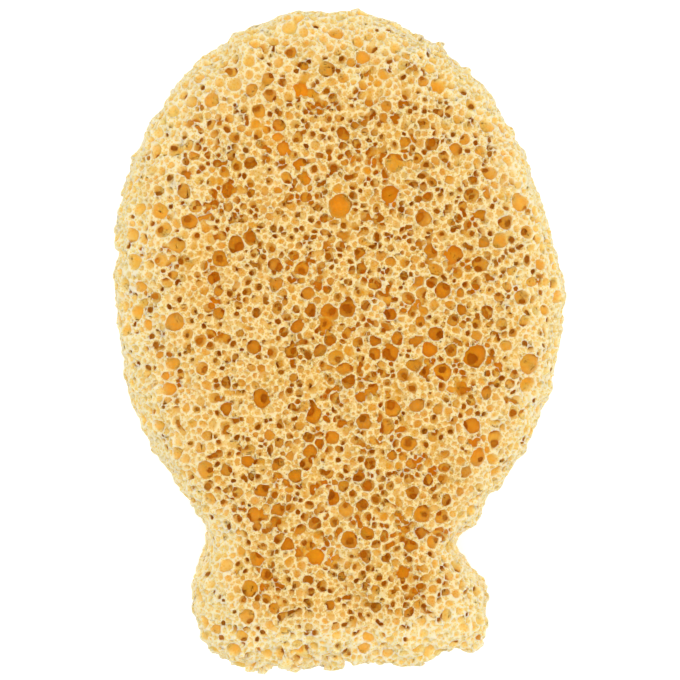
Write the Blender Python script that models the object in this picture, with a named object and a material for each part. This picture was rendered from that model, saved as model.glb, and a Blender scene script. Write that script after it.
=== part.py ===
"""A bath sponge in one piece of open foam: an egg-shaped body, a waist to hold it by and a flared foot.

It lies on its back, with its face up. +Y runs from the foot to the crown, and the origin is at the
middle of the box's underside. Lengths are in millimetres up to the point where a mesh is made.
"""

import math

import bmesh
import bpy
import numpy as np
from mathutils import Matrix, Vector
from mathutils.bvhtree import BVHTree

MM = 0.001

LENGTH = 140.0
WIDTH = 96.2
THICKNESS = 44.0

# The outline seen from above, clockwise from the crown. It is fitted to the length and width above.
OUTLINE = [
    (-3.5, 70.0), (15.0, 66.3), (27.5, 56.3), (37.6, 42.5), (44.0, 27.0), (47.8, 11.0),
    (47.2, 0.0), (43.8, -13.0), (38.5, -25.0), (30.8, -35.0), (26.2, -41.0), (25.6, -45.0),
    (28.6, -49.5), (31.6, -55.5), (31.2, -62.0), (26.0, -67.0), (11.0, -68.6), (-6.0, -69.4),
    (-21.0, -69.4), (-28.2, -65.8), (-31.6, -58.5), (-31.6, -51.0), (-28.4, -44.5), (-28.6, -40.0),
    (-34.3, -32.0), (-40.2, -22.5), (-44.8, -10.5), (-47.9, 4.0), (-48.1, 18.0), (-46.4, 32.0),
    (-41.0, 45.5), (-32.5, 57.0), (-20.0, 66.3),
]
# The line inside it, along the middle, that every ring shrinks towards.
SPINE_LOW = -44.0
SPINE_HIGH = 22.0

# The thickness follows a superellipse, which keeps the faces nearly flat and rolls the edges over.
ROLL = 4.4
FLAT_CUT = 0.6
INNER_RING = 0.24
RINGS = 16
POINTS_ROUND = 54

# Slow unevenness of the cut surface: its height and its wavelength.
WAVER = 0.45
WAVER_LENGTH = 26.0

# The widest pores of the face: x, y and radius.
FACE_PORES = [
    (0.2, 28.5, 2.5), (11.8, 37.5, 2.0), (11.3, 30.4, 2.1), (-2.5, 57.4, 1.9), (-14.9, 55.4, 1.8),
    (-17.1, 48.6, 1.9), (-8.2, 53.0, 1.7), (-25.5, 50.6, 1.7), (-22.0, 43.0, 1.7), (-31.8, 25.0, 1.9),
    (-37.4, 23.2, 1.8), (-34.3, 20.0, 1.9), (-25.3, 17.1, 1.9), (-34.9, 3.5, 2.0), (-21.8, 20.2, 1.9),
    (-13.4, 15.5, 1.9), (-16.4, -12.5, 2.1), (-35.4, -5.2, 1.8), (-5.6, -16.3, 1.8), (-9.0, 2.6, 1.7),
    (-2.0, 5.8, 2.0), (21.8, 10.3, 1.8), (7.7, 11.9, 1.7), (24.2, 17.9, 2.0), (19.5, -2.3, 1.9),
    (10.8, -2.6, 2.0), (28.2, -3.1, 2.4), (38.5, 8.7, 2.0), (34.2, 20.8, 1.9), (38.4, 28.9, 2.1),
    (20.1, 41.6, 1.7), (28.1, 30.6, 1.8), (40.6, -5.6, 2.3), (11.5, -14.9, 1.9), (16.6, -13.9, 1.8),
    (28.2, -18.3, 2.2), (29.6, -24.7, 2.3), (15.0, -22.2, 1.9), (5.4, -18.1, 1.9), (6.1, -30.7, 1.9),
    (-1.3, -33.8, 1.8), (-19.1, -25.9, 1.9), (-28.6, -27.8, 1.8), (-12.8, -36.3, 1.9), (17.7, -37.2, 2.2),
    (-17.6, -47.1, 2.0), (-11.6, -43.9, 1.9), (-5.2, -45.9, 2.0), (2.2, -43.2, 2.0), (-19.6, -57.4, 2.1),
    (13.5, -50.4, 1.7), (22.2, -58.2, 1.7), (8.4, -56.9, 1.6), (-1.9, -56.9, 1.6), (-9.1, -27.5, 1.7),
]
# The pores of the sides, and of the back for a share of the tries, are scattered between these radii.
PORES = 150
BELOW = 0.25
PORE_SMALL = 1.6
PORE_LARGE = 2.6
WALL_BETWEEN = 0.7
PORE_SUNK = 0.3
PORE_SIDES = 7
PORE_BANDS = 4
# The middle of the underside stays whole, to rest on.
REST_PATCH = 6.0
TRIES = 6000
SEED = 5


def outline_points(count):
    """The outline as a closed Catmull-Rom curve through its points, spaced evenly along its length."""
    knots = np.array(OUTLINE)
    step = np.linspace(0, 1, 24, endpoint=False)[:, None]
    spans = zip(np.roll(knots, 1, 0), knots, np.roll(knots, -1, 0), np.roll(knots, -2, 0))
    pieces = [
        b + 0.5 * ((c - a) * step + (2 * a - 5 * b + 4 * c - d) * step**2 + (3 * b - a - 3 * c + d) * step**3)
        for a, b, c, d in spans
    ]
    dense = np.concatenate(pieces)
    closed = np.vstack([dense, dense[:1]])
    along = np.concatenate([[0], np.cumsum(np.linalg.norm(np.diff(closed, axis=0), axis=1))])
    wanted = np.linspace(0, along[-1], count, endpoint=False)
    return np.stack([np.interp(wanted, along, closed[:, k]) for k in (0, 1)], axis=1)


def profile(count):
    """Share of the way out from the spine, and height, of rings spaced evenly along the rolled section."""
    angle = np.linspace(-math.pi / 2, math.pi / 2, 4001)
    half = (THICKNESS + FLAT_CUT) / 2
    out = np.abs(np.cos(angle)) ** (2 / ROLL)
    high = half * (1 + np.sign(angle) * np.abs(np.sin(angle)) ** (2 / ROLL)) - FLAT_CUT
    kept = (high > 0) & (out > INNER_RING)
    out, high = out[kept], high[kept]
    along = np.concatenate([[0], np.cumsum(np.hypot(np.diff(out) * WIDTH / 2, np.diff(high)))])
    wanted = np.linspace(0, along[-1], count)
    return zip(np.interp(wanted, along, out), np.interp(wanted, along, high))


def waver(points):
    """How far each point stands proud of the plain form. It fades to nothing at the underside."""
    x, y, z = (points * 2 * math.pi / WAVER_LENGTH).T
    wave = np.sin(x + 1.3 * np.sin(0.7 * y)) + np.sin(1.1 * y + 0.8 * z) + np.sin(1.7 * x - 0.6 * y + z)
    return WAVER / 2 * wave * (points[:, 2] / 8).clip(0, 1)


def section_rings():
    """Every ring of the form, from the rim of the underside to the middle of the face."""
    edge = outline_points(POINTS_ROUND)
    spine = np.column_stack([np.zeros(POINTS_ROUND), edge[:, 1].clip(SPINE_LOW, SPINE_HIGH)])
    middle = np.array([0, (SPINE_LOW + SPINE_HIGH) / 2, THICKNESS / 2])
    rings = []
    for share, high in profile(RINGS):
        ring = np.column_stack([spine + (edge - spine) * share, np.full(POINTS_ROUND, high)])
        away = (ring - middle) / np.linalg.norm(ring - middle, axis=1)[:, None]
        rings.append(ring + away * waver(ring)[:, None])
    rings = np.array(rings)
    low, top = rings.min((0, 1)), rings.max((0, 1))
    fitted = (rings - (low + top) / 2) / (top - low) + [0, 0, 0.5]
    return fitted * [WIDTH, LENGTH, THICKNESS]


def make_body():
    """The form before its pores are cut: each ring is grown out of the last, and both ends are capped."""
    rings = section_rings() * MM
    mesh = bmesh.new()
    verts = [mesh.verts.new(Vector(point)) for point in rings[0]]
    edges = [mesh.edges.new(pair) for pair in zip(verts, verts[1:] + verts[:1])]
    bmesh.ops.edgeloop_fill(mesh, edges=edges)
    for ring in rings[1:]:
        grown = bmesh.ops.extrude_edge_only(mesh, edges=edges)["geom"]
        fresh = {item for item in grown if isinstance(item, bmesh.types.BMVert)}
        lines = [item for item in grown if isinstance(item, bmesh.types.BMEdge)]
        edges = [line for line in lines if fresh.issuperset(line.verts)]
        verts = [next(e.other_vert(v) for e in v.link_edges if e.other_vert(v) in fresh) for v in verts]
        for vert, point in zip(verts, ring):
            vert.co = Vector(point)
    bmesh.ops.edgeloop_fill(mesh, edges=edges)
    bmesh.ops.recalc_face_normals(mesh, faces=mesh.faces)
    return mesh


def choose_pores(body):
    """Centre, direction of the surface there and radius of every pore wide enough to cut in the solid.

    The centre is a little below the surface. No two pores meet, and none touches the points that the
    length, the width and the thickness are measured to.
    """
    surface = BVHTree.FromBMesh(body)
    corners = np.array([vert.co[:] for vert in body.verts]) / MM
    ends = [corners[corners[:, axis].argmin()] for axis in (0, 1)]
    ends += [corners[corners[:, axis].argmax()] for axis in (0, 1, 2)]
    pores = []

    def add(origin, direction, radius):
        point, normal, _, _ = surface.ray_cast(Vector(origin) * MM, Vector(direction))
        if point is None:
            return
        point, normal = np.array(point) / MM, np.array(normal)
        underside = normal[2] < -0.99
        if underside and np.hypot(point[0], point[1]) < REST_PATCH + radius:
            return
        if not underside and point[2] < radius + 1.5:
            return
        centre = point - normal * radius * PORE_SUNK
        if any(np.linalg.norm(point - end) < radius + 0.5 for end in ends):
            return
        if all(np.linalg.norm(centre - other) > radius + wide + WALL_BETWEEN for other, _, wide in pores):
            pores.append((centre, normal, radius))

    for x, y, radius in FACE_PORES:
        add((x, y, 2 * THICKNESS), (0, 0, -1), radius)
    rng = np.random.default_rng(SEED)
    for _ in range(TRIES):
        radius = PORE_SMALL + (PORE_LARGE - PORE_SMALL) * rng.random() ** 2
        if len(pores) == PORES:
            break
        if rng.random() < BELOW:
            place = rng.uniform((-WIDTH / 2, -LENGTH / 2), (WIDTH / 2, LENGTH / 2))
            add((*place, -THICKNESS), (0, 0, 1), radius)
        else:
            way = rng.uniform(0, 2 * math.pi)
            origin = (0, rng.uniform(SPINE_LOW - 6, SPINE_HIGH + 14), THICKNESS / 2)
            add(origin, (math.cos(way), math.sin(way), rng.uniform(-0.6, 0.55)), radius)
    return pores


def make_cutter(pores):
    """One mesh of separate balls, each with its pole along the direction of the surface."""
    mesh = bmesh.new()
    for centre, normal, radius in pores:
        turn = Vector(normal).to_track_quat("Z", "Y").to_matrix().to_4x4()
        bmesh.ops.create_uvsphere(
            mesh,
            u_segments=PORE_SIDES,
            v_segments=PORE_BANDS,
            radius=radius * MM,
            matrix=Matrix.Translation(Vector(centre) * MM) @ turn,
        )
    return mesh


def as_object(name, mesh, collection):
    data = bpy.data.meshes.new(name)
    mesh.to_mesh(data)
    mesh.free()
    made = bpy.data.objects.new(name, data)
    collection.objects.link(made)
    return made


def foam_material():
    material = bpy.data.materials.new("sponge_foam")
    material.use_nodes = True
    shader = material.node_tree.nodes["Principled BSDF"]
    shader.inputs["Base Color"].default_value = (0.90, 0.66, 0.28, 1)
    shader.inputs["Roughness"].default_value = 0.9
    shader.inputs["Metallic"].default_value = 0.0
    return material


def main():
    for old in list(bpy.data.objects):
        bpy.data.objects.remove(old)
    parts = bpy.data.collections.new("bath_sponge")
    cutters = bpy.data.collections.new("cutters")
    for group in (parts, cutters):
        bpy.context.scene.collection.children.link(group)
    cutters.hide_render = True

    body = make_body()
    pores = choose_pores(body)
    sponge = as_object("sponge", body, parts)
    sponge.data.materials.append(foam_material())
    cutter = as_object("pore_cutter", make_cutter(pores), cutters)
    cutter.display_type = "WIRE"

    cut = sponge.modifiers.new("pores", "BOOLEAN")
    cut.operation = "DIFFERENCE"
    cut.solver = "EXACT"
    cut.object = cutter


main()
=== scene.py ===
import math
import time

import bpy
import numpy as np
from mathutils import Matrix, Vector, kdtree


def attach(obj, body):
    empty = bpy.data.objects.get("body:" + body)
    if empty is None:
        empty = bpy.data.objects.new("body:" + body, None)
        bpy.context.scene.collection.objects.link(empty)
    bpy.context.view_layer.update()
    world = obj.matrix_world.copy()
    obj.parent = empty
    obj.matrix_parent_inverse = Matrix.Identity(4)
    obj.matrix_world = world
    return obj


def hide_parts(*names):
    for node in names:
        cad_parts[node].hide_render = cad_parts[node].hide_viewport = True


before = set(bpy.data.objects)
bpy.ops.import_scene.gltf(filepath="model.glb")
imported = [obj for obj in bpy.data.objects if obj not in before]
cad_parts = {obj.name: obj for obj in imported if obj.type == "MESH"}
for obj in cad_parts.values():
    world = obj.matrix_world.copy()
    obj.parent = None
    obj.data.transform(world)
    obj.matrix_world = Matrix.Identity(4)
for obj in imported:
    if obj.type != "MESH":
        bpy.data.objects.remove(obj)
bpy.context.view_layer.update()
mm = 0.001
tiny = 1e-6    # keeps a division from going by 0
startTime = time.time()


def report(*words):
    # one line to a stage, with the seconds since the start
    print("sponge", round(time.time() - startTime, 1), "s:", *words, flush=True)


# The outer form. Lengths are in mm, and the outline runs clockwise from the crown, seen from above.
form = {
    "length": 140.0,
    "width": 96.2,
    "thickness": 44.0,
    "flatCut": 0.6,          # how much of the underside is cut level
    "roll": 4.4,             # power of the rolled edge: 2 is round, 10 is nearly square
    "spineLow": -44.0,       # ends of the middle line that the sections shrink towards
    "spineHigh": 22.0,
    "outline": [
        (-3.5, 70.0), (15.0, 66.3), (27.5, 56.3), (37.6, 42.5), (44.0, 27.0), (47.8, 11.0),
        (47.2, 0.0), (43.8, -13.0), (38.5, -25.0), (30.8, -35.0), (26.2, -41.0), (25.6, -45.0),
        (28.6, -49.5), (31.6, -55.5), (31.2, -62.0), (26.0, -67.0), (11.0, -68.6), (-6.0, -69.4),
        (-21.0, -69.4), (-28.2, -65.8), (-31.6, -58.5), (-31.6, -51.0), (-28.4, -44.5), (-28.6, -40.0),
        (-34.3, -32.0), (-40.2, -22.5), (-44.8, -10.5), (-47.9, 4.0), (-48.1, 18.0), (-46.4, 32.0),
        (-41.0, 45.5), (-32.5, 57.0), (-20.0, 66.3),
    ],
    "overlap": (3.0, 2.0),   # how far the sides, and the caps round the line's ends, reach past each other
    "leastLevel": 1e-3,      # where the rolled form's level is held, next to the middle
    "slopes": (1 / 80, 1 / 8),    # least and most change of the share of reach to a mm
    "margins": (1.5, 1.2),   # room round the form on the grid, across and up
    "lumps": [(15.0, 0.35), (7.0, 0.22), (3.6, 0.16)],    # wavelength and height of the uneven cut
    "lumpReach": 1.6,        # how far from the cut the lumps are worked out
    "rawFoot": (-64.0, 3.0, 2.0),    # where the foot's end gets lumpier, over how far, and by how much
}

# The foam. Bubbles go in class by class, each where there is room for it.
foam = {
    "pitch": 0.32,     # spacing of the grid that the foam is worked out on
    "seed": 11,
    # widest and smallest radius, places that are tried, depths and heights that the centres lie between
    "classes": [
        (1.6, 1.15, 1500, (-0.3, 0.7), (0, 41.8)),     # cups that the cut opens, on the sides and the back
        (1.15, 0.8, 6000, (-0.2, 0.6), (0, 45)),
        (0.8, 0.55, 40000, (-0.1, 0.45), (0, 45)),
        (1.6, 1.1, 6000, (1.8, 3.2), (34, 45)),        # bubbles behind them
        (1.2, 0.8, 12000, (1.4, 2.3), (0, 45)),
        (0.55, 0.42, 140000, (-0.05, 0.3), (0, 45)),   # small pores between the cups
        (0.42, 0.28, 200000, (-0.05, 0.2), (0, 45)),
    ],
    "sizePower": 1.6,        # above 1, the small ones of a class are the commoner
    "openedDepth": 1.0,      # a class whose centres lie less deep than this is one of cups
    "behind": (0.6, 0.85),   # a bubble behind each cup, against the cup's own radius
    "behindRoom": 0.8,       # share of its radius that has to be free there
    "behindLeast": 0.55,     # least radius of a cup that has one
    "behindSpread": 0.3,     # how far from straight inwards it may lie
    "readSpreads": (0.25, 0.7, 0.7),    # the same for each of the three behind a cup that was read off
    "readSunk": (0.4, 0.9),  # how deep those cups lie, against the most that they may
    "sunk": ((0.5, 1.2), (0.42, 0.7)),    # radii of cups, and how many radii below the cut a centre may lie
    "plain": ((0.55, 0.88), (1.0, 0.3)),  # shares of the reach, and how deep and how often opened pores are
    "plainFoot": (-48.0, 18.0, 0.35),     # where the foot gets plainer, over how far, and by what share
    "bend": [(5.0, 0.12), (2.4, 0.03)],   # wavelength and height of the waves that bend the round bubbles
    "bendSeed": 50,
    "farOff": (3.0, 4.0),    # distances to the nearest and the second bubble where there is none
    "placeReach": (1.0, 2.0, 2.4),    # how far out a bubble is entered: at least, behind a cup, and read off
    "gap": 0.08,             # least space left between two bubbles as they are placed
    "growth": 0.17,          # how far each bubble then swells into the space around it
    "wall": 0.32,            # least thickness of the skin between two bubbles
    "wallRounding": 0.2,     # how softly that skin meets the rest
    "lid": 0.3,              # least skin over a bubble that the cut misses
    "rounding": 0.16,        # how softly the rims are rounded
    "windowed": (0.72, 0.4),            # least radii of two bubbles that may open one into the other
    "windowShare": (0.14, 0.75, 0.5),   # share of touching pairs that open: both, one or neither cut open
    "windowSize": (0.45, 0.75),         # against the smaller bubble of the two
    "windowLeast": 0.3,                 # how far a window reaches into both of them at least
    "windowReach": (2.2, 0.8),          # how far off the other one is looked for, and the widest skin
    "windowMargin": 0.6,
    # painted shade: the colour's depth grows where solid crowds round a point, in hollows, and shrinks on
    # rims
    "hollowShade": (1.6, 0.27),            # depth that solid around adds, and the share of solid that adds none
    "triangles": 980000,
}

# The wider pores of the face, read off the photograph: x, y and radius in its pixels.
readPores = [
    (336, 34, 8.4), (327, 69.5, 8.5), (269, 79, 7.5), (252, 90, 7.5), (259, 111, 8), (291, 54, 7.5),
    (301, 90, 8), (248, 60, 7.5), (303, 67, 6), (269, 95, 7), (340, 205, 11.5), (250, 163.5, 6.5),
    (301, 164, 7), (369, 104.5, 6), (395, 163, 9.5), (392, 196, 10), (228, 190, 7), (225, 172, 6),
    (284, 149, 7), (280, 125, 7), (213, 101, 7.5), (235, 137, 7), (195, 156, 6), (343, 134, 7),
    (371, 151, 6), (306, 180, 6), (195, 207, 7), (184, 191, 7),
    (189.5, 222, 8), (163, 230, 8), (178, 245, 9), (220, 259, 8.5), (214, 278.5, 7.5), (175, 322.5, 9.5),
    (156, 298, 7), (173, 364, 8), (262, 399, 9.3), (170, 388.5, 7.5), (227, 409, 7), (236, 244, 9),
    (250, 237, 8), (276, 266, 8), (276, 284, 7.5), (278, 308, 6), (297, 327, 7.5), (313, 415, 8.3),
    (307, 294, 7), (141, 286.5, 7), (255.5, 347, 8), (292, 351, 6.5), (227, 383, 6), (201, 369, 6.5),
    (200, 341, 7), (220, 313, 7), (156, 410, 6.5), (132, 235, 8),
    (433, 144, 7.5), (456, 149, 7), (465, 139, 6), (444, 157, 6), (424, 124, 6.5), (479, 212.5, 6.5),
    (483, 243, 7), (500, 241, 9), (429.5, 252, 7), (436, 270, 7.3), (519, 203, 10), (423, 218, 8),
    (453, 254.5, 9), (471, 195, 8), (526, 232, 7), (504.5, 222, 8), (405, 142.5, 6.5), (427, 196, 6),
    (480, 265, 8.5),
    (330, 312, 8.6), (311, 311, 7.5), (326, 325, 6), (302, 269, 7.5), (375, 284, 7), (361, 268, 7),
    (360, 253, 6), (442, 291, 8), (430, 282.5, 7), (419, 281, 6), (347, 308, 10), (390, 315, 9),
    (409, 298.5, 7), (319, 351, 8), (330, 340, 6.5), (336, 358, 8), (397, 339, 7), (376, 340, 7),
    (391, 352.5, 9), (376, 354, 7), (417, 342, 6.5), (430, 349, 8), (437, 335, 8), (451, 350, 7),
    (459, 310, 7), (453, 320, 7), (414, 366, 7.5), (423, 373, 7), (404, 375.5, 6), (443, 372, 8),
    (345, 370, 8), (348.5, 381, 8), (336, 398, 6), (358, 398, 7), (393.5, 409, 8.5), (417.5, 404.5, 8),
    (373, 388, 6.5), (347, 333, 6),
    (473, 355.5, 11.5), (520, 297.5, 8.5), (499, 297.5, 6), (532, 282, 6.5), (487, 312, 7), (501, 325, 6),
    (524, 321, 6), (529, 363, 11), (527, 385, 9), (462, 389, 6), (486, 394, 6.5), (438, 410, 6),
    (471.5, 425, 9.3), (515, 413, 8),
    (249.5, 451, 6.5), (249.5, 461, 8), (200, 448, 6), (206, 470.5, 9), (226, 470.5, 7), (238, 494, 6),
    (262, 490, 7.5), (256, 515, 8), (258, 527, 6), (277.5, 509.5, 7.5), (276.5, 521.5, 6.5), (310, 452, 7),
    (308, 438, 6.5), (319, 443.5, 6), (331, 438, 7), (305, 464, 7), (296, 475, 7.5), (277.5, 464, 6.5),
    (333, 498, 8), (314.5, 522.5, 6.5), (300, 529, 6), (286, 545, 8), (280, 540, 7), (257, 559.5, 8),
    (237.5, 519, 6), (315.5, 557, 9), (311, 547.5, 6), (363.5, 422, 8), (387, 427, 7.5), (477, 456.5, 9.5),
    (409.5, 443.5, 7.5), (412, 463.5, 6), (392, 455, 6), (371, 464, 7), (358, 477, 7.5), (367, 485, 7),
    (346, 509.5, 7), (362, 504, 7), (343, 487, 6), (413, 493, 6.5), (445, 500, 6), (422, 514.5, 9.3),
    (442.5, 517, 8), (420, 532.5, 6.7), (438, 531, 6), (411, 546, 8), (350.5, 540, 8.5), (366.5, 533.5, 7),
    (387, 557, 6.5), (365.5, 557, 6.5), (465, 471.5, 7), (427, 480, 6),
    (267, 574, 7), (250, 589.5, 9), (247, 617, 8), (235, 650.5, 8.5), (330, 606, 6), (307, 579, 6),
    (402.5, 572.5, 7), (342.5, 575, 6), (445.5, 615, 6.5), (241.5, 636, 6.5), (217, 629.5, 6),
    (274, 608, 6), (284.5, 631.5, 6), (418, 648, 6), (362.5, 648, 6.5), (377, 606, 6.5), (408, 611.5, 6),
]

# The camera looks straight down with the crown at the top of the picture, leaning a little to one side.
view = {
    "lens": 100.0,
    "sensor": 36.0,
    "pixels": 680,
    "frame": 147.8,          # width that the picture shows at the aim, in mm
    "aim": (0.1, -0.3, 24.0),
    "lean": (3.0, 3.0),      # degrees to the side and towards the crown
}


def cameraPlace():
    # where the camera stands in mm, and its right, up and backward directions
    side, up = (math.radians(angle) for angle in view["lean"])
    back = Vector((-math.sin(side), math.sin(up), math.cos(side) * math.cos(up))).normalized()
    right = Vector((0, 1, 0)).cross(back).normalized()
    place = Vector(view["aim"]) + back * view["frame"] * view["lens"] / view["sensor"]
    return place, (right, back.cross(right), back)


def pictureToForm(px, py, height):
    # the point at a height that a pixel shows, and mm to a pixel there
    place, (right, up, back) = cameraPlace()
    step = view["sensor"] / view["pixels"]
    middle = view["pixels"] / 2
    ray = right * (px - middle) * step + up * (middle - py) * step - back * view["lens"]
    reach = (height - place.z) / ray.z
    return place.x + ray.x * reach, place.y + ray.y * reach, reach * step


def outlineCurve(steps=24):
    # closed Catmull-Rom curve through the outline's points, stretched to the length and the width
    knots = np.array(form["outline"])
    t = np.linspace(0, 1, steps, endpoint=False)[:, None]
    a, b, c, d = (np.roll(knots, shift, 0)[:, None] for shift in (1, 0, -1, -2))
    curve = b + 0.5 * ((c - a) * t + (2 * a - 5 * b + 4 * c - d) * t**2 + (3 * b - a - 3 * c + d) * t**3)
    curve = curve.reshape(-1, 2)
    low, high = curve.min(0), curve.max(0)
    return (curve - (low + high) / 2) / (high - low) * [form["width"], form["length"]]


def shareOfReach(x, y):
    # distance from the middle line over the outline's distance in the same direction: 1 on the outline
    curve = outlineCurve()
    low, high = form["spineLow"], form["spineHigh"]
    sideOverlap, capOverlap = form["overlap"]
    middle = curve[(curve[:, 1] > low - sideOverlap) & (curve[:, 1] < high + sideOverlap)]
    sides = middle[middle[:, 0] > 0], middle[middle[:, 0] < 0]
    right, left = (side[np.argsort(side[:, 1])] for side in sides)
    half = np.where(x > 0, np.interp(y, right[:, 1], right[:, 0]), -np.interp(y, left[:, 1], left[:, 0]))
    share = np.abs(x) / half
    for end, way in ((low, -1), (high, 1)):
        beyond = (y - end) * way > 0
        cap = curve[(curve[:, 1] - end) * way > -capOverlap]
        angle = np.arctan2(cap[:, 0], (cap[:, 1] - end) * way)
        order = np.argsort(angle)
        radius = np.hypot(cap[:, 0], cap[:, 1] - end)
        here = np.arctan2(x[beyond], (y[beyond] - end) * way)
        share[beyond] = np.hypot(x[beyond], y[beyond] - end) / np.interp(here, angle[order], radius[order])
    return share


def waves(points, wavelength, height, seed, count=7, spread=(0.7, 1.4)):
    # sum of sines in scattered directions, scaled so that its usual swing is the height
    rng = np.random.default_rng(seed)
    ways = rng.normal(size=(count, 3))
    long = np.linalg.norm(ways, axis=1)[:, None]
    ways *= 2 * math.pi / wavelength / long * rng.uniform(*spread, (count, 1))
    phases = rng.uniform(0, 2 * math.pi, count)
    total = np.zeros(len(points), dtype=np.float32)
    for way, phase in zip(ways, phases):
        total += np.sin(points @ way.astype(np.float32) + np.float32(phase))
    return total * (height / math.sqrt(count / 2))


def outerForm(gx, gy, gz):
    # distance below (-) or above (+) the cut surface: a superellipse of the share of reach and the height,
    # divided by its slope, and cut level at the underside
    pitch = gx[1] - gx[0]
    x, y = np.meshgrid(gx, gy, indexing="ij")
    share = shareOfReach(x, y).astype(np.float32)
    slope = np.hypot(*np.gradient(share, pitch)).clip(*form["slopes"])[:, :, None]
    half = (form["thickness"] + form["flatCut"]) / 2
    rise = (np.abs(gz + form["flatCut"] - half) / half)[None, None, :]
    power = form["roll"]
    level = np.maximum((share[:, :, None] ** power + rise**power) ** (1 / power), form["leastLevel"])
    acrossSlope = (share[:, :, None] / level) ** (power - 1) * slope
    upSlope = (rise / level) ** (power - 1) / half
    distance = (level - 1) / np.sqrt(acrossSlope**2 + upSlope**2)
    return np.maximum(distance, -gz[None, None, :]).astype(np.float32)


def span(axis, low, high):
    # the numbers of the grid points between two places on an axis
    return int(np.searchsorted(axis, low)), int(np.searchsorted(axis, high))


def ballPatch(axes, centre, reach):
    # the part of a grid near a centre, and its points' distance from that centre
    (i, i2), (j, j2), (k, k2) = (span(axis, c - reach, c + reach) for axis, c in zip(axes, centre))
    dx, dy, dz = axes[0][i:i2] - centre[0], axes[1][j:j2] - centre[1], axes[2][k:k2] - centre[2]
    far = (dx**2)[:, None, None] + ((dy**2)[:, None] + dz**2)
    return (slice(i, i2), slice(j, j2), slice(k, k2)), np.sqrt(far, out=far)


def plainness(x, y):
    # share of the reach, raised towards the end of the foot
    start, length, raised = foam["plainFoot"]
    return shareOfReach(x, y) + raised * ((start - y) / length).clip(0, 1)


def pack(axes, body):
    # random packing: the pores that were read off, then each class of bubble at random places where the
    # room left, which is the distance to the nearest bubble, holds its smallest. The distance to the
    # second nearest is kept too.
    nearest, second = (np.full(body.shape, far, dtype=np.float32) for far in foam["farOff"])
    leastReach, behindReach, readReach = foam["placeReach"]
    bubbles = []

    def add(spot, radius, widest):
        # enters a bubble in both distances, as far out as a later bubble of the widest size can lie
        patch, far = ballPatch(axes, spot, radius + max(leastReach, widest + foam["gap"]))
        far -= radius
        first, after = nearest[patch], second[patch]
        np.minimum(after, np.maximum(first, far), out=after)
        np.minimum(first, far, out=first)
        bubbles.append((*spot, radius))

    def cellOf(spot):
        # the grid point at a place, or the nearest one that has neighbours on all sides
        cell = (int(np.searchsorted(axis, value)) for axis, value in zip(axes, spot))
        return tuple(min(max(number, 1), len(axis) - 2) for number, axis in zip(cell, axes))

    shares = plainness(*np.meshgrid(axes[0], axes[1], indexing="ij"))

    def mostSunk(radius, share):
        # how many radii below the cut a cup's centre may lie: more for a wide cup, less near the edge
        return np.interp(radius, *foam["sunk"]) * np.interp(share, *foam["plain"])

    def addBehind(spot, radius, spread):
        # a smaller bubble that touches this one on its inner side, if there is room
        i, j, k = cellOf(spot)
        if rng.random() > np.interp(shares[i, j], *foam["plain"]):
            return
        inward = np.array([body[i - 1, j, k] - body[i + 1, j, k], body[i, j - 1, k] - body[i, j + 1, k],
                           body[i, j, k - 1] - body[i, j, k + 1]])
        way = inward / max(np.linalg.norm(inward), tiny) + rng.normal(size=3) * spread
        below = radius * rng.uniform(*foam["behind"])
        place = spot + way / np.linalg.norm(way) * (radius + below)
        cell = cellOf(place)
        if nearest[cell] > foam["behindRoom"] * below and -body[cell] > below + foam["growth"] + foam["lid"]:
            add(place, below, behindReach)

    rng = np.random.default_rng(foam["seed"])
    for px, py, wide in readPores:
        top = form["thickness"] - 1    # a first guess of the height
        for _ in range(2):             # the second time with the height found there
            x, y, perPixel = pictureToForm(px, py, top)
            column = body[np.searchsorted(axes[0], x), np.searchsorted(axes[1], y)]
            top = float(axes[2][np.nonzero(column < 0)[0][-1]])
        share = shares[np.searchsorted(axes[0], x), np.searchsorted(axes[1], y)]
        sunk = mostSunk(wide * perPixel, share) * rng.uniform(*foam["readSunk"])
        whole = wide * perPixel / math.sqrt(1 - sunk**2)
        add((x, y, top - whole * sunk), whole - foam["growth"], readReach)
    for *spot, radius in list(bubbles):
        for spread in foam["readSpreads"]:
            addBehind(spot, radius, spread)

    pitch = float(axes[0][1] - axes[0][0])
    gap = foam["gap"]
    for widest, smallest, tries, (shallowest, deepest), (lowest, highest) in foam["classes"]:
        room = (nearest > smallest + gap) & (body < -shallowest) & (body > -deepest)
        room &= (axes[2] > lowest) & (axes[2] < highest)
        choice = np.flatnonzero(room)
        choice = choice[rng.integers(0, len(choice), tries)]
        cells = np.stack(np.unravel_index(choice, room.shape), 1)
        wanted = smallest + (widest - smallest) * rng.random(len(cells)) ** foam["sizePower"]
        spots = np.stack([axis[cells[:, k]] for k, axis in enumerate(axes)], 1)
        spots = spots + rng.uniform(-0.5, 0.5, spots.shape) * pitch
        placed = len(bubbles)
        for cell, spot, radius in zip(cells.tolist(), spots.tolist(), wanted.tolist()):
            radius = min(radius, float(nearest[tuple(cell)]) - gap)
            lidded = radius + foam["growth"] + foam["lid"]
            sunk = mostSunk(radius, shares[cell[0], cell[1]])
            if radius > smallest and not sunk * radius < -body[tuple(cell)] < lidded:
                add(spot, radius, widest)
                if deepest < foam["openedDepth"] and radius > foam["behindLeast"]:
                    addBehind(spot, radius, foam["behindSpread"])
        report("radius", smallest, "to", widest, "placed", len(bubbles) - placed, "of", len(cells))
    return np.array(bubbles), nearest, second


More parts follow.
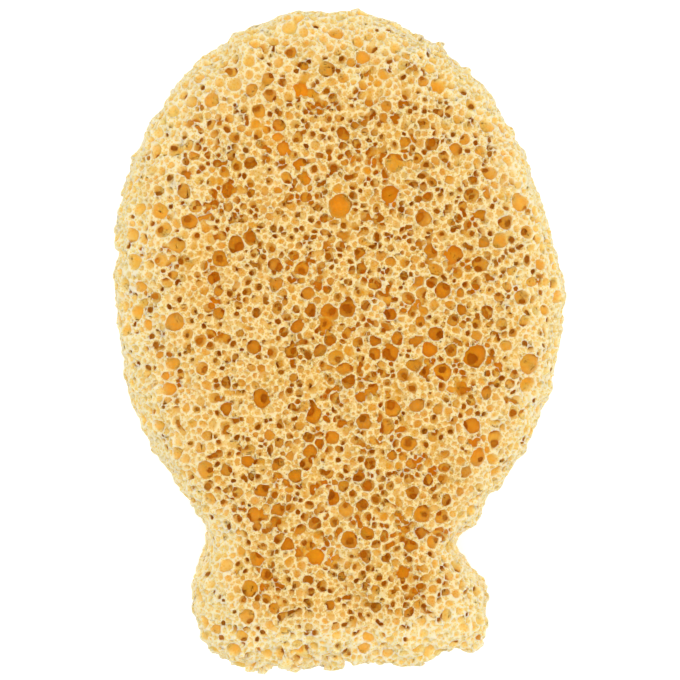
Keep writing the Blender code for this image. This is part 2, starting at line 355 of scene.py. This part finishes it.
def placeWindows(bubbles, axes, body):
    # small balls where two bubbles nearly touch, at the middle of the skin between them, which open one
    # into the other
    cells = [np.searchsorted(axis, bubbles[:, k]) for k, axis in enumerate(axes)]
    closed = (-body[tuple(cells)] > bubbles[:, 3] + foam["growth"]).astype(int)
    tree = kdtree.KDTree(len(bubbles))
    for index, bubble in enumerate(bubbles[:, :3].tolist()):
        tree.insert(bubble, index)
    tree.balance()
    rng = np.random.default_rng(foam["seed"] + 1)
    least, most = foam["windowSize"]
    larger, smaller = foam["windowed"]
    search, widestSkin = foam["windowReach"]
    keeps = np.interp(plainness(bubbles[:, 0], bubbles[:, 1]), *foam["plain"])
    windows = []
    for index in np.nonzero(bubbles[:, 3] > larger)[0].tolist():
        x, y, z, radius = bubbles[index].tolist()
        for _, other, far in tree.find_range((x, y, z), radius + search):
            if bubbles[other, 3] < smaller or (other <= index and bubbles[other, 3] > larger):
                continue
            between = far - radius - bubbles[other, 3]
            opens = foam["windowShare"][closed[index] + closed[other]] * keeps[index]
            if between > widestSkin or rng.random() > opens:
                continue
            way = bubbles[other, :3] - bubbles[index, :3]
            place = bubbles[index, :3] + way * (radius + between / 2) / far
            size = min(radius, bubbles[other, 3]) * rng.uniform(least, most)
            windows.append((*place, max(size, between / 2 + foam["windowLeast"])))
    return np.array(windows)


def softMax(a, b, width):
    # the larger of two fields, with the crease between them rounded over the width
    blend = (0.5 + 0.5 * (b - a) / width).clip(0, 1)
    return a + (b - a) * blend + width * blend * (1 - blend)


def foamField(axes, body):
    # solid (-) or empty (+): the outer form less the bubbles, whose skins are kept where two of them meet
    bubbles, nearest, second = pack(axes, body)
    report(len(bubbles), "bubbles")
    skin = (foam["wall"] - (second - nearest)) / 2
    empty = softMax(nearest - foam["growth"], skin, foam["wallRounding"])
    windows = placeWindows(bubbles, axes, body)
    for *centre, radius in windows.tolist():
        patch, far = ballPatch(axes, centre, radius + foam["windowMargin"])
        far -= radius
        np.minimum(empty[patch], far, out=empty[patch])
    report(len(windows), "windows")
    solid = softMax(body, -empty, foam["rounding"])
    for side in (0, -1):    # the grid's outermost points stay empty
        solid[side] = solid[:, side] = solid[:, :, side] = 1
    return solid


def surfaceNet(field):
    # one point in each cell that the surface crosses, at the mean of its edges' crossings, and one
    # four-sided face across each grid edge whose ends differ in sign
    inside = field < 0
    size = [n - 1 for n in field.shape]
    corners = [(a, b, c) for a in (0, 1) for b in (0, 1) for c in (0, 1)]
    held = np.zeros(size, dtype=np.uint8)
    for a, b, c in corners:
        held += inside[a:a + size[0], b:b + size[1], c:c + size[2]]
    crossed = (held > 0) & (held < 8)
    cells = np.argwhere(crossed)
    number = np.full(size, -1, dtype=np.int32)
    number[crossed] = np.arange(len(cells))
    values = np.stack([field[cells[:, 0] + a, cells[:, 1] + b, cells[:, 2] + c] for a, b, c in corners], 1)
    spots = np.array(corners, dtype=np.float32)
    total = np.zeros((len(cells), 3), dtype=np.float32)
    count = np.zeros(len(cells), dtype=np.float32)
    for p in range(8):
        for q in range(p + 1, 8):
            if np.abs(spots[p] - spots[q]).sum() != 1:
                continue
            u, v = values[:, p], values[:, q]
            cuts = (u < 0) != (v < 0)
            share = np.where(cuts, u / np.where(cuts, u - v, 1), 0)
            total += np.where(cuts[:, None], spots[p] + (spots[q] - spots[p]) * share[:, None], 0)
            count += cuts
    points = cells + total / count[:, None]
    faces = []
    for axis in range(3):
        one, two = (axis + 1) % 3, (axis + 2) % 3
        lower = [slice(1, -1)] * 3
        upper = [slice(1, -1)] * 3
        lower[axis], upper[axis] = slice(0, -1), slice(1, None)
        starts = inside[tuple(lower)]
        edges = np.argwhere(starts != inside[tuple(upper)])
        flipped = ~starts[tuple(edges.T)]
        edges[:, one] += 1
        edges[:, two] += 1
        ring = []
        for back, side in ((1, 1), (0, 1), (0, 0), (1, 0)):
            cell = edges.copy()
            cell[:, one] -= back
            cell[:, two] -= side
            ring.append(number[tuple(cell.T)])
        ring = np.stack(ring, 1)
        ring[flipped] = ring[flipped][:, ::-1]
        faces.append(ring)
    return points, np.concatenate(faces)


def largestPart(points, faces):
    # every point takes the lowest number among its neighbours until nothing changes, so each separate
    # surface ends with one number, and the commonest is kept: closed bubbles and loose crumbs go
    label = np.arange(len(points))
    here, there = faces.ravel(), np.roll(faces, -1, 1).ravel()
    while True:
        a, b = label[here], label[there]
        differ = a != b
        if not differ.any():
            break
        np.minimum.at(label, np.maximum(a, b)[differ], np.minimum(a, b)[differ])
        while (label[label] != label).any():
            label = label[label]
    names, sizes = np.unique(label, return_counts=True)
    faces = faces[label[faces[:, 0]] == names[sizes.argmax()]]
    used, flat = np.unique(faces, return_inverse=True)
    return points[used], flat.reshape(-1, 4)


def sampleField(field, points):
    # straight-line blend of the eight grid values around each point
    cell = np.floor(points).astype(np.int64)
    part = points - cell
    value = np.zeros(len(points))
    for a in (0, 1):
        for b in (0, 1):
            for c in (0, 1):
                weight = np.abs(1 - a - part[:, 0]) * np.abs(1 - b - part[:, 1]) * np.abs(1 - c - part[:, 2])
                value += weight * field[cell[:, 0] + a, cell[:, 1] + b, cell[:, 2] + c]
    return value


def fullness(field):
    # share of solid in the millimetre or so around each grid point: low on a rim, high in a hollow
    full = (field < 0).astype(np.float32)
    for axis in (0, 1, 2):
        for _ in range(2):
            full = (np.roll(full, 1, axis) + full + np.roll(full, -1, axis)) / 3
    return full


def makeSponge():
    # the outer form with its lumps, less the bubbles, as one closed mesh. Each point keeps its depth below
    # the cut, raised in hollows and lowered on rims, which the colour turns into painted shade, and its
    # paleness, a painted edge light that grows with the square of how far out it lies, with slow random
    # changes of tone.
    pitch = foam["pitch"]
    across, upward = form["margins"]
    reach = np.array([form["width"] / 2, form["length"] / 2]) + across
    axes = [
        np.arange(-reach[0], reach[0] + pitch, pitch, dtype=np.float32),
        np.arange(-reach[1], reach[1] + pitch, pitch, dtype=np.float32),
        np.arange(-upward, form["thickness"] + upward + pitch, pitch, dtype=np.float32),
    ]
    body = outerForm(*axes)
    near = np.nonzero(np.abs(body) < form["lumpReach"])
    spots = np.stack([axis[cells] for axis, cells in zip(axes, near)], 1)
    start, length, more = form["rawFoot"]
    foot = ((start - spots[:, 1]) / length).clip(0, 1)
    for number, (wavelength, height) in enumerate(form["lumps"]):
        body[near] += waves(spots, wavelength, height, number) * (1 + more * foot)
    report("grid of", body.shape)
    field = foamField(axes, body)
    points, faces = largestPart(*surfaceNet(field))
    # painted shade: the colour's depth grows where solid crowds round a point, in hollows, and shrinks on
    # thin rims, which paints them paler
    added, free = foam["hollowShade"]
    depth = -sampleField(body, points) + added * (sampleField(fullness(field), points) - free)
    points = (points * pitch + [axis[0] for axis in axes]).astype(np.float32)
    points += sum(np.stack([waves(points, wavelength, height, number + 10 * k) for k in range(3)], 1)
                  for number, (wavelength, height) in enumerate(foam["bend"], foam["bendSeed"]))
    points[:, 2] = points[:, 2].clip(0)    # the underside lies on the floor
    # painted edge light: the colour turns paler towards the edge and the foot, with slow random changes of
    # tone
    plain = plainness(points[:, 0], points[:, 1])
    start, length = foamColours["edgeLightFrom"]
    least, more = foamColours["edgeLightRange"]
    pale = least + more * ((plain - start) / length).clip(0, 1) ** 2.0
    pale += sum(waves(points, *drift) for drift in foamColours["paleDrift"])
    report(len(points), "points,", len(faces), "faces")

    mesh = bpy.data.meshes.new("spongeFoam")
    mesh.vertices.add(len(points))
    mesh.vertices.foreach_set("co", (points * mm).astype(np.float32).ravel())
    mesh.loops.add(faces.size)
    mesh.loops.foreach_set("vertex_index", faces.astype(np.int32).ravel())
    mesh.polygons.add(len(faces))
    mesh.polygons.foreach_set("loop_start", np.arange(0, faces.size, 4, dtype=np.int32))
    mesh.polygons.foreach_set("use_smooth", np.ones(len(faces), dtype=bool))
    mesh.update(calc_edges=True)
    # these attributes carry the painted shade by depth and the painted edge light
    for name, values in (("shadeDepth", depth), ("edgeLightAndTone", pale.clip(0, 1))):
        mesh.attributes.new(name, "FLOAT", "POINT").data.foreach_set("value", values.astype(np.float32))
    sponge = bpy.data.objects.new("spongeFoam", mesh)
    bpy.context.scene.collection.objects.link(sponge)
    return sponge


def thinOut(sponge, most):
    # collapses short edges until the triangles are few enough
    triangles = 2 * len(sponge.data.polygons)    # each face has four sides
    if triangles <= most:
        return
    thinner = sponge.modifiers.new("thinner", "DECIMATE")
    thinner.ratio = most / triangles
    done = sponge.evaluated_get(bpy.context.evaluated_depsgraph_get())
    mesh = bpy.data.meshes.new_from_object(done)
    sponge.modifiers.remove(thinner)
    sponge.data = mesh
    mended = mesh.validate()    # takes out faces that the thinning left double
    report("thinned to", len(mesh.polygons), "faces, mended:", mended)


def paintPlan(sponge):
    # a map in which each corner lies in a square at its depth, which carries the painted shade, and its
    # paleness, which carries the painted edge light: the two that the colour follows most
    mesh = sponge.data
    corner = np.empty(len(mesh.loops), dtype=np.int32)
    mesh.loops.foreach_get("vertex_index", corner)
    square = np.empty((len(corner), 2), dtype=np.float32)
    for column, (name, most) in enumerate((("shadeDepth", foamColours["deepest"]), ("edgeLightAndTone", 1.0))):
        value = np.empty(len(mesh.vertices), dtype=np.float32)
        mesh.attributes[name].data.foreach_get("value", value)
        square[:, column] = (value[corner] / most).clip(*foamColours["mapEnds"])
    mesh.uv_layers.new(name="OFBake").data.foreach_set("uv", square.ravel())


# Colours of the foam by depth below its cut surface, which paint its light and shade: palest at the cut
# and on the rims, darker down into the pores as painted shade, and the golden redder and brighter again
# at the deepest as painted light that the thin walls would let through. Depth in mm, then the golden and
# the pale colour there.
foamColours = {
    "shadeRamp": [
        (0.0, (1.00, 0.76, 0.38), (1.00, 0.87, 0.60)),
        (0.4, (0.87, 0.59, 0.21), (0.98, 0.79, 0.40)),
        (0.8, (0.83, 0.53, 0.15), (0.97, 0.73, 0.29)),
        (1.4, (0.78, 0.45, 0.08), (0.96, 0.66, 0.19)),
        (2.1, (0.76, 0.375, 0.03), (0.95, 0.60, 0.13)),
        (3.2, (0.88, 0.39, 0.015), (0.95, 0.57, 0.09)),
        (4.0, (0.94, 0.42, 0.01), (0.95, 0.56, 0.08)),
    ],
    "deepest": 4.0,
    "mapEnds": (0.002, 0.998),    # the part of the map's square that is used
    "edgeLightFrom": (0.45, 0.5),      # share of the reach where the golden starts to turn pale as painted edge light, and over how much
    "edgeLightRange": (0.05, 0.95),    # paleness inside, and the painted light that the edge adds
    "paleDrift": [(24.0, 0.07, 90), (7.0, 0.1, 95)],    # wavelength, height and seed of its slow changes
    "mottle": 900.0,              # patches to a metre
    "mottleDetail": 1.0,
    "mottleShift": 0.7,           # how far they shift the golden towards the pale
    "shadeSpecks": 1800.0,             # the finest pores, painted as specks of shade, to a metre
    "speckEnds": (0.15, 0.5),     # distances from a speck's middle, in its own size
    "speckShade": (1.0, -0.25),   # the depth in mm that it adds at those distances: painted shade at a speck's middle, and paler elsewhere
    "roughness": 0.95,
    "specular": 0.15,
    "subsurface": 0.5,
    "scatter": (0.6, 0.5, 0.25),
    "scatterScale": 0.0025,
    "through": (1.0, 0.4, 0.02),  # colour of a faint painted glow over the whole foam, which stands in for the light that thin walls let into the pits
    "throughStrength": 0.035,
}


def foamMaterial():
    # golden and pale ramps of painted shade over the depth, which the specks of painted pore shade shift,
    # mixed by the paleness, a painted edge light, and the random mottle; the emission is a faint painted glow
    material = bpy.data.materials.new("goldenFoam")
    material.use_nodes = True
    nodes, links = material.node_tree.nodes, material.node_tree.links
    shader = nodes["Principled BSDF"]
    shader.inputs["Roughness"].default_value = foamColours["roughness"]
    shader.inputs["Subsurface Weight"].default_value = foamColours["subsurface"]
    shader.inputs["Subsurface Radius"].default_value = foamColours["scatter"]
    shader.inputs["Subsurface Scale"].default_value = foamColours["scatterScale"]
    shader.inputs["Specular IOR Level"].default_value = foamColours["specular"]
    # a faint painted glow: the whole foam gives off a little orange light
    shader.inputs["Emission Color"].default_value = (*foamColours["through"], 1)
    shader.inputs["Emission Strength"].default_value = foamColours["throughStrength"]
    depth, pale = nodes.new("ShaderNodeAttribute"), nodes.new("ShaderNodeAttribute")
    depth.attribute_name, pale.attribute_name = "shadeDepth", "edgeLightAndTone"
    scale = nodes.new("ShaderNodeMapRange")
    scale.inputs["From Max"].default_value = foamColours["deepest"]
    place = nodes.new("ShaderNodeTexCoord")
    # the specks paint the shade of the finest pores: they add depth, so darker colour, at their middles
    cells, speck, deeper = (nodes.new("ShaderNode" + kind) for kind in ("TexVoronoi", "MapRange", "Math"))
    links.new(place.outputs["Object"], cells.inputs["Vector"])
    cells.inputs["Scale"].default_value = foamColours["shadeSpecks"]
    links.new(cells.outputs["Distance"], speck.inputs["Value"])
    ends = foamColours["speckEnds"] + foamColours["speckShade"]
    for name, value in zip(("From Min", "From Max", "To Min", "To Max"), ends):
        speck.inputs[name].default_value = value
    links.new(depth.outputs["Fac"], deeper.inputs[0])
    links.new(speck.outputs["Result"], deeper.inputs[1])
    links.new(deeper.outputs["Value"], scale.inputs["Value"])
    noise = nodes.new("ShaderNodeTexNoise")
    links.new(place.outputs["Object"], noise.inputs["Vector"])
    noise.inputs["Scale"].default_value = foamColours["mottle"]
    noise.inputs["Detail"].default_value = foamColours["mottleDetail"]
    shift = nodes.new("ShaderNodeMath")
    shift.operation = "MULTIPLY_ADD"
    links.new(noise.outputs["Fac"], shift.inputs[0])
    shift.inputs[1].default_value = foamColours["mottleShift"]
    lift = nodes.new("ShaderNodeMath")
    lift.operation = "SUBTRACT"
    links.new(pale.outputs["Fac"], lift.inputs[0])
    lift.inputs[1].default_value = foamColours["mottleShift"] / 2
    links.new(lift.outputs["Value"], shift.inputs[2])
    mix = nodes.new("ShaderNodeMix")
    mix.data_type = "RGBA"
    links.new(shift.outputs["Value"], mix.inputs["Factor"])
    for tone, socket in ((1, 6), (2, 7)):    # the mix node's two colours
        shadeRamp = nodes.new("ShaderNodeValToRGB")
        stops = shadeRamp.color_ramp.elements
        for number, step in enumerate(foamColours["shadeRamp"]):
            where = step[0] / foamColours["deepest"]
            stop = stops[number] if number < 2 else stops.new(where)
            stop.position = where
            stop.color = (*step[tone], 1)
        links.new(scale.outputs["Result"], shadeRamp.inputs["Fac"])
        links.new(shadeRamp.outputs["Color"], mix.inputs[socket])
    links.new(mix.outputs[2], shader.inputs["Base Color"])
    return material


sponge = makeSponge()
thinOut(sponge, foam["triangles"])
paintPlan(sponge)
sponge.data.materials.append(foamMaterial())
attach(sponge, "root")
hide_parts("sponge")

# The studio: a pale floor, an even dome and three soft panels.
studio = {
    "white": (1, 1, 1, 1),
    "floorColour": (0.97, 0.97, 0.97, 1),
    "floorGlow": 0.4,
    "floorRoughness": 0.9,
    "floorReach": 3.0,
    "dome": 0.53,
    "panels": [    # name, place and size in m, and power in W
        ("topPanel", (-0.05, 0.05, 0.8), 0.5, 2.15),
        ("keyPanel", (-0.45, 0.2, 0.65), 0.5, 0.6),
        ("fillPanel", (0.6, -0.1, 0.5), 0.6, 1.1),
    ],
    "panelAim": (0, 0, 0.02),
}


def makeFloor():
    # one level square under the sponge
    mesh = bpy.data.meshes.new("floor")
    reach = studio["floorReach"]
    corners = [(-reach, -reach, 0), (reach, -reach, 0), (reach, reach, 0), (-reach, reach, 0)]
    mesh.from_pydata(corners, [], [(0, 1, 2, 3)])
    floor = bpy.data.objects.new("floor", mesh)
    bpy.context.scene.collection.objects.link(floor)
    material = bpy.data.materials.new("paleFloor")
    material.use_nodes = True
    shader = material.node_tree.nodes["Principled BSDF"]
    shader.inputs["Base Color"].default_value = studio["floorColour"]
    shader.inputs["Emission Color"].default_value = studio["white"]
    shader.inputs["Emission Strength"].default_value = studio["floorGlow"]
    shader.inputs["Roughness"].default_value = studio["floorRoughness"]
    mesh.materials.append(material)


def makePanel(name, place, size, power):
    # a square light that faces the sponge
    light = bpy.data.lights.new(name, "AREA")
    light.size = size
    light.energy = power
    panel = bpy.data.objects.new(name, light)
    panel.location = place
    towards = Vector(studio["panelAim"]) - Vector(place)
    panel.rotation_euler = towards.to_track_quat("-Z", "Y").to_euler()
    bpy.context.scene.collection.objects.link(panel)


def makeStudio():
    # the dome as a plain world, the floor and the panels
    world = bpy.data.worlds.new("dome")
    world.use_nodes = True
    world.node_tree.nodes["Background"].inputs["Color"].default_value = studio["white"]
    world.node_tree.nodes["Background"].inputs["Strength"].default_value = studio["dome"]
    bpy.context.scene.world = world
    makeFloor()
    for panel in studio["panels"]:
        makePanel(*panel)


def makeCamera():
    # the camera at the photograph's angle
    lens = bpy.data.cameras.new("camera")
    lens.lens = view["lens"]
    lens.sensor_width = view["sensor"]
    camera = bpy.data.objects.new("camera", lens)
    place, directions = cameraPlace()
    camera.location = place * mm
    camera.rotation_euler = Matrix(directions).transposed().to_euler()
    bpy.context.scene.collection.objects.link(camera)
    bpy.context.scene.camera = camera


makeStudio()
makeCamera()
bpy.context.scene.view_settings.view_transform = "Standard"
report("scene made")
